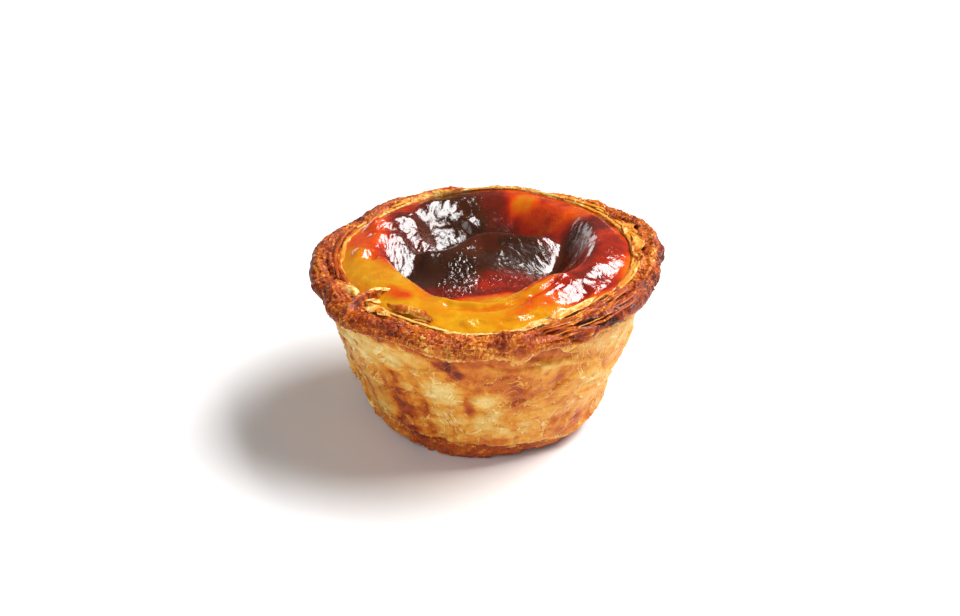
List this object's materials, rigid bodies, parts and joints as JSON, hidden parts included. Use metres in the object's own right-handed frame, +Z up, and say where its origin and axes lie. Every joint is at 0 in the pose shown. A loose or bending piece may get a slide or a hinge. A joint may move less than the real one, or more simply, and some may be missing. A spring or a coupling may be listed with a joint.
{
  "type": "custard tart",
  "caption": "Round custard tart: a flaring puff pastry cup with a craggy rolled rim, filled with caramelised custard that has sunk in the middle.",
  "frame": {"origin": "centre of the level that the foot rests on, under the middle of the whole tart", "axes": "+Z up, -Y towards the side that the picture shows, +X to its right"},
  "size_m": [0.0722, 0.0714, 0.0382],
  "materials": {
    "pastry": "baked puff pastry, pale gold on the wall and browned on the rim, dull to satin",
    "custard": "glossy custard skin, yellow at the edge, orange and red further in and dark brown where it is caramelised"
  },
  "bodies": {
    "root": {"pastry_shell": "pastry", "custard": "custard"}
  },
  "joints": []
}
